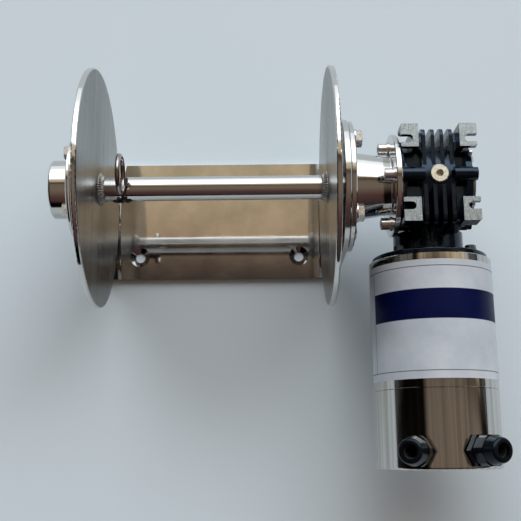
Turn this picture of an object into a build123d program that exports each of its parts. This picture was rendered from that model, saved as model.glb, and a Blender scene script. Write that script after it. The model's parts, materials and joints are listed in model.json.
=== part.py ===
from build123d import *
import os
from math import atan2, cos, degrees, pi, radians, sin, tan

# Anchor windlass: a rope drum carried between two cheeks on a deck plate, driven through a worm
# gearbox by a direct-current motor that lies beside the drum at right angles to it.
# Origin: centre of the four deck holes, on the underside of the deck plate.
# +X runs along the drum shaft towards the gearbox, +Y points away from the motor, +Z up.

# ---- driving dimensions, mm ----
SHAFT_Z = 110.0            # drum shaft above the deck
BASE_L, BASE_W, BASE_T = 221.0, 112.0, 5.0
DECK_HOLE_X, DECK_HOLE_Y = 150.0, 70.0
DECK_HOLE_R, DECK_SINK_R, DECK_SINK_ANGLE = 4.5, 9.2, 100.0
CHEEK_T = 5.0
DISC_R, DISC_T, DISC_GAP = 100.0, 4.5, 190.0
CORE_R, SPINDLE_R = 10.0, 7.0
RUN = 0.05                 # radial running clearance between a turning and a standing piece

BEARING_W, BEARING_R = 12.0, 21.0      # drum bearings, 20 x 42 x 12
BEARING_BALL_R, BEARING_BALLS = 3.175, 9
BEARING_OUT = 127.5        # outer side of each drum bearing from the middle of the drum
SEAL_W = 4.6
SHOULDER_R = 17.0          # bore past the outer side of a drum bearing
CHEEK_BORE = 12.5

LEFT_FLANGE_R, LEFT_FLANGE_T, LEFT_BOSS_R, LEFT_END = 44.0, 5.0, 24.5, 134.0
LEFT_BOLT_PCD, LEFT_BOLT_R = 68.0, 3.0
BELL_FLANGE_R, BELL_FLANGE_T, BELL_BOLT_PCD, BELL_BOLT_R = 54.5, 4.5, 88.0, 4.0
BELL_ROOT_R, BELL_NECK_R, BELL_RING_R, BELL_RING_X, BELL_RING_T = 29.0, 24.0, 43.0, 147.5, 4.8
GEAR_SCREW_PCD, GEAR_SCREW_R = 65.0, 3.0

GEAR_X = 183.0             # mid plane of the gearbox and axis of the motor
GEAR_HALF = GEAR_X - BELL_RING_X - BELL_RING_T
CENTRES = 30.0             # worm axis below the wheel axis
WORM_Z = SHAFT_Z - CENTRES
TEETH, MODULE = 30, 1.44
LEAD = pi * MODULE
WHEEL_R = TEETH * MODULE / 2
WORM_R = CENTRES - WHEEL_R
FEET_Z = SHAFT_Z + 40.0
FOOT_X0, FOOT_X1, FOOT_Y0, FOOT_Y1, FOOT_T = 16.5, 30.5, 21.0, 40.5, 5.5
SLOT_W, SLOT_Y, SLOT_X = 6.5, 28.0, 24.0
FIN_PITCH, FIN_T, FIN_COUNT = 7.3, 3.0, 4

MOTOR_R = 51.5
FLANGE_Y, FLANGE_T = -56.0, 5.0
CAN_Y0, CAN_Y1 = -61.0, -232.0
CAN_T = 1.2
LABEL_Y0, LABEL_Y1, LABEL_T = -67.0, -162.0, 0.25
GLAND_Y, GLAND_ANGLE = -217.5, 26.5
CABLE_R = 5.0

M6_WASHER_R, M6_HOLE_R, M6_WASHER_T, M6_FLATS, M6_HEAD = 6.0, 3.2, 1.2, 10.0, 4.0
M8_WASHER_R, M8_HOLE_R, M8_WASHER_T, M8_FLATS, M8_HEAD = 8.0, 4.3, 1.6, 13.0, 5.3
M5_WASHER_R, M5_HOLE_R, M5_WASHER_T, M5_FLATS, M5_HEAD = 5.0, 2.7, 1.0, 8.0, 3.5
M6_CAP_R, M6_CAP, M6_SOCKET = 5.0, 6.0, 5.0
M3_CAP_R, M3_CAP, M3_SOCKET = 2.75, 3.0, 2.5

HALF_BASE = BASE_L / 2
CHEEK_IN = HALF_BASE - CHEEK_T
QUARTERS = (0, 90, 180, 270)
DIAGONALS = (45, 135, 225, 315)


# ---- planes and helpers ----
def across(x):
    """Plane square to the drum shaft at x: local x is +Y, local y is +Z, normal +X."""
    return Plane(origin=(x, 0, SHAFT_Z), x_dir=(0, 1, 0), z_dir=(1, 0, 0))


def back_across(x):
    """The same plane facing -X: local x is -Y, local y is +Z."""
    return Plane(origin=(x, 0, SHAFT_Z), x_dir=(0, -1, 0), z_dir=(-1, 0, 0))


def along(y):
    """Plane square to the motor axis at y: local x is +X, local y is +Z, normal -Y."""
    return Plane(origin=(GEAR_X, y, WORM_Z), x_dir=(1, 0, 0), z_dir=(0, -1, 0))


def round_spots(pcd, angles):
    """Points at the given angles on a pitch circle."""
    return [(pcd / 2 * cos(radians(a)), pcd / 2 * sin(radians(a))) for a in angles]


def ring(plane, outer_r, inner_r, length):
    """Plain ring or sleeve that starts on the plane."""
    with BuildPart() as piece:
        with BuildSketch(plane):
            Circle(outer_r)
            Circle(inner_r, mode=Mode.SUBTRACT)
        extrude(amount=length)
    return piece.part


def washers(plane, spots, outer_r, inner_r, thickness):
    """Plain washers lying on the plane."""
    with BuildPart() as pieces:
        with BuildSketch(plane):
            with Locations(*spots):
                Circle(outer_r)
                Circle(inner_r, mode=Mode.SUBTRACT)
        extrude(amount=thickness)
    return pieces.part


def hex_bolts(plane, spots, shank_r, across_flats, head_h, grip):
    """Hexagon bolts: heads above the plane with their corners turned off, shanks below it."""
    with BuildPart() as bolts:
        with BuildSketch(plane):
            with Locations(*spots):
                RegularPolygon(across_flats / 2, 6, major_radius=False)
        extrude(amount=head_h)
        with BuildSketch(plane.offset(head_h)):
            with Locations(*spots):
                Circle(across_flats * 0.47)
        extrude(amount=-head_h, taper=-60, mode=Mode.INTERSECT)
        with BuildSketch(plane):
            with Locations(*spots):
                Circle(shank_r)
        extrude(amount=-grip)
    return bolts.part


def cap_screws(plane, spots, shank_r, head_r, head_h, socket_af, grip):
    """Socket head screws: heads above the plane, shanks below it."""
    with BuildPart() as screws:
        with BuildSketch(plane):
            with Locations(*spots):
                Circle(head_r)
        extrude(amount=head_h)
        chamfer(screws.faces().filter_by(lambda f: f.normal_at().dot(plane.z_dir) > 0.99).edges(), 0.5)
        with BuildSketch(plane.offset(head_h)):
            with Locations(*spots):
                RegularPolygon(socket_af / 2, 6, major_radius=False)
        extrude(amount=-head_h * 0.55, mode=Mode.SUBTRACT)
        with BuildSketch(plane):
            with Locations(*spots):
                Circle(shank_r)
        extrude(amount=-grip)
    return screws.part


def bearing(plane, bore_r, outer_r, width, ball_r, ball_count):
    """Deep-groove ball bearing from the plane: outer ring, inner ring, and cage with its balls."""
    pitch_r = (bore_r + outer_r) / 2
    race_gap = 0.12
    land = ball_r * 0.62
    mid = plane.offset(width / 2)
    with BuildPart() as groove:
        with BuildSketch(Plane(origin=mid.origin, x_dir=mid.x_dir, z_dir=mid.y_dir)):
            with Locations((pitch_r, 0)):
                Circle(ball_r + race_gap)
        revolve(axis=Axis(mid.origin, mid.z_dir))
    with BuildPart() as outer_ring:
        add(ring(plane, outer_r, pitch_r + land, width))
        add(groove.part, mode=Mode.SUBTRACT)
    with BuildPart() as inner_ring:
        add(ring(plane, pitch_r - land, bore_r, width))
        add(groove.part, mode=Mode.SUBTRACT)
    ball_spots = [(pitch_r * cos(2 * pi * i / ball_count), pitch_r * sin(2 * pi * i / ball_count))
                  for i in range(ball_count)]
    cage_half = ball_r * 1.25
    with BuildPart() as cage:
        add(ring(mid.offset(-cage_half), pitch_r + ball_r * 0.25, pitch_r - ball_r * 0.25, 2 * cage_half))
        for spot_x, spot_y in ball_spots:
            outward = mid.x_dir * (spot_x / pitch_r) + mid.y_dir * (spot_y / pitch_r)
            with BuildSketch(Plane(origin=mid.origin, x_dir=mid.z_dir, z_dir=outward)):
                Circle(ball_r + race_gap)
            extrude(amount=outer_r, mode=Mode.SUBTRACT)
    with BuildPart() as balls:
        with Locations(mid):
            with Locations(*ball_spots):
                Sphere(ball_r)
    return outer_ring.part, inner_ring.part, [cage.part, balls.part]


def seal(plane, shaft_r, outer_r, width):
    """Lip seal: a channel-shaped ring that just clears its shaft."""
    with BuildPart() as lip:
        with BuildSketch(plane):
            Circle(outer_r)
            Circle(shaft_r + RUN, mode=Mode.SUBTRACT)
        extrude(amount=width)
        with BuildSketch(plane.offset(width)):
            Circle(outer_r - 1.5)
            Circle(shaft_r + 1.6, mode=Mode.SUBTRACT)
        extrude(amount=-width * 0.6, mode=Mode.SUBTRACT)
    return lip.part


def solids_of(*shapes):
    """One flat list of the separate solids in the shapes."""
    return [solid for shape in shapes for solid in shape.solids()]


def save(shape, name):
    """Label the piece and write its STEP file."""
    shape.label = name
    export_step(shape, f"parts/{name}.step")


def save_group(shapes, name):
    """Write several separate solids as one node."""
    group = Compound(children=solids_of(*shapes))
    save(group, name)


os.makedirs("parts", exist_ok=True)

# ---- deck plate and cheeks ----
with BuildPart() as base_plate:
    with BuildSketch():
        RectangleRounded(BASE_L, BASE_W, 2.0)
    extrude(amount=BASE_T)
    with Locations(Plane.XY.offset(BASE_T)):
        with GridLocations(DECK_HOLE_X, DECK_HOLE_Y, 2, 2):
            CounterSinkHole(DECK_HOLE_R, DECK_SINK_R, counter_sink_angle=DECK_SINK_ANGLE)
save(base_plate.part, "base_plate")


def cheek(plane, bore_r, bolt_pcd, bolt_r):
    """Side plate with a round top on the shaft axis, from the plane outwards."""
    foot_drop = SHAFT_Z - BASE_T
    with BuildPart() as plate:
        with BuildSketch(plane):
            Circle(BASE_W / 2)
            with Locations((0, -foot_drop / 2)):
                Rectangle(BASE_W, foot_drop)
            Circle(bore_r, mode=Mode.SUBTRACT)
            with Locations(*round_spots(bolt_pcd, DIAGONALS)):
                Circle(bolt_r, mode=Mode.SUBTRACT)
        extrude(amount=CHEEK_T)
        chamfer(plate.edges().filter_by(GeomType.CIRCLE).filter_by(lambda e: e.radius > 50), 0.6)
    return plate.part


save(cheek(back_across(-CHEEK_IN), CHEEK_BORE, LEFT_BOLT_PCD, LEFT_BOLT_R), "cheek_left")
save(cheek(across(CHEEK_IN), CHEEK_BORE, BELL_BOLT_PCD, BELL_BOLT_R), "cheek_right")

# Fillet welds that join the cheeks to the deck plate on the drum side.
WELD_LEG = 4.0
with BuildPart() as frame_welds:
    with BuildSketch(Plane.XZ.offset(-BASE_W / 2 + 1.5)):
        with BuildLine():
            Polyline((CHEEK_IN, BASE_T + WELD_LEG), (CHEEK_IN, BASE_T), (CHEEK_IN - WELD_LEG, BASE_T))
            ThreePointArc((CHEEK_IN - WELD_LEG, BASE_T),
                          (CHEEK_IN - 0.42 * WELD_LEG, BASE_T + 0.42 * WELD_LEG),
                          (CHEEK_IN, BASE_T + WELD_LEG))
        make_face()
    extrude(amount=BASE_W - 3.0)
    mirror(about=Plane.YZ)
save(frame_welds.part, "frame_welds")

# ---- left bearing housing and its fasteners ----
LEFT_FACE = HALF_BASE + LEFT_FLANGE_T
LEFT_SPOTS = round_spots(LEFT_BOLT_PCD, DIAGONALS)
with BuildPart() as left_bearing_housing:
    with BuildSketch(back_across(-HALF_BASE)):
        Circle(LEFT_FLANGE_R)
    extrude(amount=LEFT_FLANGE_T)
    chamfer(left_bearing_housing.edges().filter_by(GeomType.CIRCLE).sort_by(Axis.X)[0], 0.8)
    with BuildSketch(back_across(-LEFT_FACE)):
        Circle(LEFT_BOSS_R)
    extrude(amount=LEFT_END - LEFT_FACE)
    fillet(left_bearing_housing.edges().filter_by(GeomType.CIRCLE).sort_by(Axis.X)[0], 2.0)
    with BuildSketch(back_across(-HALF_BASE)):
        Circle(BEARING_R)
    extrude(amount=BEARING_OUT - HALF_BASE, mode=Mode.SUBTRACT)
    with BuildSketch(back_across(-BEARING_OUT)):
        Circle(SHOULDER_R)
    extrude(amount=3.6, mode=Mode.SUBTRACT)
    with BuildSketch(back_across(-HALF_BASE)):
        with Locations(*LEFT_SPOTS):
            Circle(LEFT_BOLT_R + 0.3)
    extrude(amount=LEFT_FLANGE_T, mode=Mode.SUBTRACT)
save(left_bearing_housing.part, "left_bearing_housing")
save(washers(back_across(-LEFT_FACE), LEFT_SPOTS, M6_WASHER_R, M6_HOLE_R, M6_WASHER_T),
     "left_housing_washers")
save(hex_bolts(back_across(-LEFT_FACE - M6_WASHER_T), LEFT_SPOTS, LEFT_BOLT_R, M6_FLATS, M6_HEAD,
               M6_WASHER_T + LEFT_FLANGE_T + CHEEK_T), "left_housing_bolts")

# ---- bell housing between the right cheek and the gearbox ----
BELL_FACE = HALF_BASE + BELL_FLANGE_T
RING_FACE = BELL_RING_X + BELL_RING_T
SPIGOT_R, SPIGOT_L = 23.4, 2.0
BELL_SPOTS = round_spots(BELL_BOLT_PCD, DIAGONALS)
GEAR_SPOTS = round_spots(GEAR_SCREW_PCD, QUARTERS)
with BuildPart() as bell_housing:
    with BuildSketch(Plane.XZ):
        with BuildLine():
            Polyline(
                (HALF_BASE, SHAFT_Z + BEARING_R), (HALF_BASE, SHAFT_Z + BELL_FLANGE_R),
                (BELL_FACE, SHAFT_Z + BELL_FLANGE_R), (BELL_FACE, SHAFT_Z + BELL_ROOT_R),
                (BELL_RING_X, SHAFT_Z + BELL_NECK_R), (BELL_RING_X, SHAFT_Z + BELL_RING_R),
                (RING_FACE, SHAFT_Z + BELL_RING_R), (RING_FACE, SHAFT_Z + SPIGOT_R),
                (RING_FACE + SPIGOT_L, SHAFT_Z + SPIGOT_R), (RING_FACE + SPIGOT_L, SHAFT_Z + SHOULDER_R),
                (BEARING_OUT, SHAFT_Z + SHOULDER_R), (BEARING_OUT, SHAFT_Z + BEARING_R), close=True)
        make_face()
    revolve(axis=Axis((0, 0, SHAFT_Z), (1, 0, 0)))
    rims = bell_housing.edges().filter_by(GeomType.CIRCLE)
    chamfer(rims.filter_by(lambda e: abs(e.radius - BELL_FLANGE_R) < 0.1), 0.8)
    chamfer(bell_housing.edges().filter_by(GeomType.CIRCLE).filter_by(
        lambda e: abs(e.radius - BELL_RING_R) < 0.1), 0.6)
    fillet(bell_housing.edges().filter_by(GeomType.CIRCLE).filter_by(
        lambda e: abs(e.radius - BELL_NECK_R) < 0.1), 1.5)
    with BuildSketch(across(HALF_BASE)):
        with Locations(*BELL_SPOTS):
            Circle(BELL_BOLT_R + 0.25)
    extrude(amount=BELL_FLANGE_T, mode=Mode.SUBTRACT)
    with BuildSketch(across(BELL_RING_X)):
        with Locations(*GEAR_SPOTS):
            Circle(GEAR_SCREW_R + 0.25)
    extrude(amount=BELL_RING_T, mode=Mode.SUBTRACT)
save(bell_housing.part, "bell_housing")
save(washers(across(BELL_FACE), BELL_SPOTS, M8_WASHER_R, M8_HOLE_R, M8_WASHER_T), "bell_washers")
save(hex_bolts(across(BELL_FACE + M8_WASHER_T), BELL_SPOTS, BELL_BOLT_R, M8_FLATS, M8_HEAD,
               M8_WASHER_T + BELL_FLANGE_T + CHEEK_T), "bell_bolts")

SPRING_WASHER_R, SPRING_WASHER_T, SCREW_BITE = 5.0, 1.5, 11.0
STACK = M6_WASHER_T + SPRING_WASHER_T
flat_washers = washers(back_across(BELL_RING_X), GEAR_SPOTS, M6_WASHER_R, M6_HOLE_R, M6_WASHER_T)
spring_washers = washers(back_across(BELL_RING_X - M6_WASHER_T), GEAR_SPOTS, SPRING_WASHER_R, M6_HOLE_R,
                         SPRING_WASHER_T)
save_group([flat_washers, spring_washers], "gearbox_screw_washers")
save(cap_screws(back_across(BELL_RING_X - STACK), GEAR_SPOTS, GEAR_SCREW_R, M6_CAP_R, M6_CAP, M6_SOCKET,
                STACK + BELL_RING_T + SCREW_BITE), "gearbox_screws")

# ---- drum: shaft, discs, welds and rope eye ----
SPINDLE_X = 129.5
SHAFT_END_X = GEAR_X + 26.5
GROOVE_X, GROOVE_W, GROOVE_R = BEARING_OUT + 0.1, 1.3, 9.4
KEY_W, KEY_L = 5.0, 25.0
KEY_TOP, KEY_FOOT = 9.0, 4.0
END_BOLT_R = 3.0
with BuildPart() as drum_shaft:
    with BuildSketch(across(-SPINDLE_X - 0.8)):
        Circle(CORE_R)
    extrude(amount=2 * SPINDLE_X + 0.8)
    with BuildSketch(across(SPINDLE_X)):
        Circle(SPINDLE_R)
    extrude(amount=SHAFT_END_X - SPINDLE_X)
    chamfer(drum_shaft.edges().filter_by(GeomType.CIRCLE).sort_by(Axis.X)[0], 0.8)
    chamfer(drum_shaft.edges().filter_by(GeomType.CIRCLE).sort_by(Axis.X)[-1], 0.6)
    for groove_x in (-GROOVE_X - GROOVE_W, GROOVE_X):
        with BuildSketch(across(groove_x)):
            Circle(CORE_R + 1)
            Circle(GROOVE_R, mode=Mode.SUBTRACT)
        extrude(amount=GROOVE_W, mode=Mode.SUBTRACT)
    with BuildSketch(across(GEAR_X - KEY_L / 2)):
        with Locations((0, (KEY_FOOT + KEY_TOP) / 2)):
            Rectangle(KEY_W, KEY_TOP - KEY_FOOT)
    extrude(amount=KEY_L, mode=Mode.SUBTRACT)
    with BuildSketch(across(SHAFT_END_X)):
        Circle(END_BOLT_R)
    extrude(amount=-16.0, mode=Mode.SUBTRACT)
save(drum_shaft.part, "drum_shaft")


def disc(plane):
    """Drum end disc with a rounded rim."""
    with BuildPart() as plate:
        with BuildSketch(plane):
            Circle(DISC_R)
            Circle(CORE_R, mode=Mode.SUBTRACT)
        extrude(amount=DISC_T)
        fillet(plate.edges().filter_by(GeomType.CIRCLE).filter_by(lambda e: e.radius > 50), 1.2)
    return plate.part


save(disc(back_across(-DISC_GAP / 2)), "drum_disc_left")
save(disc(across(DISC_GAP / 2)), "drum_disc_right")

# Fillet welds run round the shaft on both faces of each disc, and under the rope eye.
EYE_X, EYE_R, EYE_WIRE_R = -74.5, 15.0, 2.0
EYE_LEAN = 9.5
EYE_DISTANCE = CORE_R + EYE_R + EYE_WIRE_R + 0.02
EYE_Y, EYE_Z = EYE_DISTANCE * sin(radians(EYE_LEAN)), SHAFT_Z + EYE_DISTANCE * cos(radians(EYE_LEAN))
WELD_IN, WELD_OUT, WELD_UP, WELD_DIP = 5.0, 3.0, 3.6, 1.5
with BuildPart() as disc_welds:
    with BuildSketch(Plane.XZ):
        for face_x, reach in ((DISC_GAP / 2, -WELD_IN), (DISC_GAP / 2 + DISC_T, WELD_OUT)):
            with BuildLine():
                Polyline((face_x, SHAFT_Z + CORE_R), (face_x + reach, SHAFT_Z + CORE_R),
                         (face_x + reach * 0.45, SHAFT_Z + CORE_R + WELD_DIP),
                         (face_x, SHAFT_Z + CORE_R + WELD_UP), close=True)
            make_face()
    revolve(axis=Axis((0, 0, SHAFT_Z), (1, 0, 0)))
    mirror(about=Plane.YZ)

with BuildPart() as rope_eye:
    with BuildSketch(Plane(origin=(EYE_X, EYE_Y, EYE_Z), x_dir=(1, 0, 0), z_dir=(0, 0, 1))):
        with Locations((0, EYE_R)):
            Circle(EYE_WIRE_R)
    revolve(axis=Axis((EYE_X, EYE_Y, EYE_Z), (1, 0, 0)))
save(rope_eye.part, "rope_eye")

EYE_FOOT = Plane(origin=(EYE_X, 0, SHAFT_Z), x_dir=(1, 0, 0),
                 z_dir=(0, sin(radians(EYE_LEAN)), cos(radians(EYE_LEAN))))
with BuildPart() as eye_weld:
    with BuildSketch(EYE_FOOT.offset(CORE_R - 3.0)):
        Ellipse(5.0, 8.0)
    extrude(amount=6.0, taper=22)
    add(drum_shaft.part, mode=Mode.SUBTRACT)
    add(rope_eye.part, mode=Mode.SUBTRACT)
save_group([disc_welds.part, eye_weld.part], "drum_welds")

with BuildPart() as shaft_key:
    with BuildSketch(across(GEAR_X - KEY_L / 2)):
        with Locations((0, (KEY_FOOT + KEY_TOP) / 2)):
            Rectangle(KEY_W, KEY_TOP - KEY_FOOT)
    extrude(amount=KEY_L)
save(shaft_key.part, "shaft_key")

with BuildPart() as circlip:
    with BuildSketch(across(GROOVE_X)):
        Circle(12.0)
        Circle(GROOVE_R, mode=Mode.SUBTRACT)
        with Locations((0, 10.5)):
            Rectangle(7.0, 6.0, mode=Mode.SUBTRACT)
    extrude(amount=GROOVE_W - 0.1)
save_group([circlip.part, circlip.part.mirror(Plane.YZ)], "shaft_circlips")

# ---- drum bearings and seals ----
right_outer, right_inner, right_balls = bearing(
    across(BEARING_OUT - BEARING_W), CORE_R, BEARING_R, BEARING_W, BEARING_BALL_R, BEARING_BALLS)
left_outer, left_inner, left_balls = bearing(
    back_across(-BEARING_OUT + BEARING_W), CORE_R, BEARING_R, BEARING_W, BEARING_BALL_R, BEARING_BALLS)
save_group([left_outer, right_outer], "drum_bearing_outer_rings")
save_group([left_inner, right_inner], "drum_bearing_inner_rings")
save_group([seal(across(HALF_BASE + 0.1), CORE_R, BEARING_R, SEAL_W),
            seal(back_across(-HALF_BASE - 0.1), CORE_R, BEARING_R, SEAL_W)], "shaft_seals")

# ---- worm wheel on its hollow hub ----
RIM_HALF, RIM_IN, HUB_HALF, HUB_R = 6.5, 16.0, 8.0, 12.5
HUB_END = GEAR_HALF - SPIGOT_L - 0.5
TIP_R = WHEEL_R + MODULE
GASH_R = CENTRES - (WORM_R + MODULE) - 0.35
BACKLASH = 0.45
FLANK = tan(radians(20))
LEAD_ANGLE = LEAD / (2 * pi * WORM_R)
with BuildPart() as wheel_hub:
    with BuildSketch(across(GEAR_X - HUB_END)):
        Circle(HUB_R)
    extrude(amount=2 * HUB_END)
    with BuildSketch(across(GEAR_X - HUB_HALF)):
        Circle(RIM_IN)
    extrude(amount=2 * HUB_HALF)
    with BuildSketch(across(GEAR_X - GEAR_HALF)):
        Circle(SPINDLE_R)
        with Locations((0, KEY_TOP / 2)):
            Rectangle(KEY_W, KEY_TOP)
    extrude(amount=2 * GEAR_HALF, mode=Mode.SUBTRACT)
save(wheel_hub.part, "wheel_hub")

# Teeth are cut by straight gashes, each wound round the shaft by the worm's lead angle. The first
# gap stands square below the axis, where the worm runs.
with BuildPart() as gash:
    half_floor = (pi * MODULE / 2 + BACKLASH) / 2 - (WHEEL_R - GASH_R) * FLANK
    half_mouth = half_floor + (TIP_R + 1.5 - GASH_R) * FLANK
    for side in (-1, 1):
        shift = side * (RIM_HALF + 1) * LEAD_ANGLE
        with BuildSketch(across(GEAR_X + side * (RIM_HALF + 1))):
            Polygon((shift - half_floor, -GASH_R), (shift + half_floor, -GASH_R),
                    (shift + half_mouth, -TIP_R - 1.5), (shift - half_mouth, -TIP_R - 1.5), align=None)
    loft()

THROAT_HALF, THROAT_LIP = 5.6, 0.6
with BuildPart() as worm_wheel:
    with BuildSketch(Plane.XZ):
        with BuildLine():
            Polyline((GEAR_X - THROAT_HALF, SHAFT_Z - TIP_R - THROAT_LIP),
                     (GEAR_X - RIM_HALF, SHAFT_Z - TIP_R + 0.3), (GEAR_X - RIM_HALF, SHAFT_Z - RIM_IN),
                     (GEAR_X + RIM_HALF, SHAFT_Z - RIM_IN), (GEAR_X + RIM_HALF, SHAFT_Z - TIP_R + 0.3),
                     (GEAR_X + THROAT_HALF, SHAFT_Z - TIP_R - THROAT_LIP))
            ThreePointArc((GEAR_X - THROAT_HALF, SHAFT_Z - TIP_R - THROAT_LIP),
                          (GEAR_X, SHAFT_Z - TIP_R + 0.25),
                          (GEAR_X + THROAT_HALF, SHAFT_Z - TIP_R - THROAT_LIP))
        make_face()
    revolve(axis=Axis((0, 0, SHAFT_Z), (1, 0, 0)))
    for tooth in range(TEETH):
        add(gash.part.rotate(Axis((0, 0, SHAFT_Z), (1, 0, 0)), tooth * 360 / TEETH), mode=Mode.SUBTRACT)
save(worm_wheel.part, "worm_wheel")

END_WASHER_T = 2.0
save_group([ring(across(GEAR_X + HUB_END), 11.0, END_BOLT_R + 0.2, END_WASHER_T),
            hex_bolts(across(GEAR_X + HUB_END + END_WASHER_T), [(0, 0)], END_BOLT_R, M6_FLATS, M6_HEAD,
                      16.0)],
           "shaft_end_bolt")

# ---- gearbox casting ----
WHEEL_BEARING_X, WHEEL_BEARING_R = 12.0, 23.5
WHEEL_BALL_R, WHEEL_BALLS = 3.57, 10
WORM_BALL_R, WORM_BALLS = 2.38, 9
WORM_BEARING_Y, WORM_BEARING_R, WORM_BEARING_W = 20.5, 16.0, 9.0
CASE_Y, CASE_TOP, CASE_LOW = 40.5, 32.0, -55.0
CASE_MID, CASE_HIGH = (CASE_TOP + CASE_LOW) / 2, CASE_TOP - CASE_LOW
BARREL_R, HUB_OUT, BLOCK_IN, BLOCK_OUT = 33.0, 27.0, 13.0, 20.5
PILOT_R, BOSS_R, COVER_X, COVER_BORE = 27.5, 6.0, 22.0, 25.5
TUNNEL_R, TUNNEL_Y0, TUNNEL_Y1 = 21.0, 38.0, -42.0
POCKET_R, POCKET_X, POCKET_FLOOR = 6.5, 19.5, 25.5
PLUG_R, PLUG_THREAD_R, PLUG_BOSS_R, PLUG_HEAD = 7.6, 4.8, 9.0, 4.0
WALL_ROUND, FIN_ROUND, FOOT_ROUND, SKIRT_T, SKIRT_DROP, WEB_DROP = 12.0, 7.0, 1.2, 5.0, 16.0, 22.0
COVER_SCREW_PCD, COVER_SCREW_R, COVER_SCREW_BITE = 60.8, 1.5, 6.0
COVER_SPOTS = round_spots(COVER_SCREW_PCD, DIAGONALS)


def foot_corners():
    """The four sign pairs that place a foot."""
    return [(side, end) for side in (-1, 1) for end in (-1, 1)]


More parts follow.
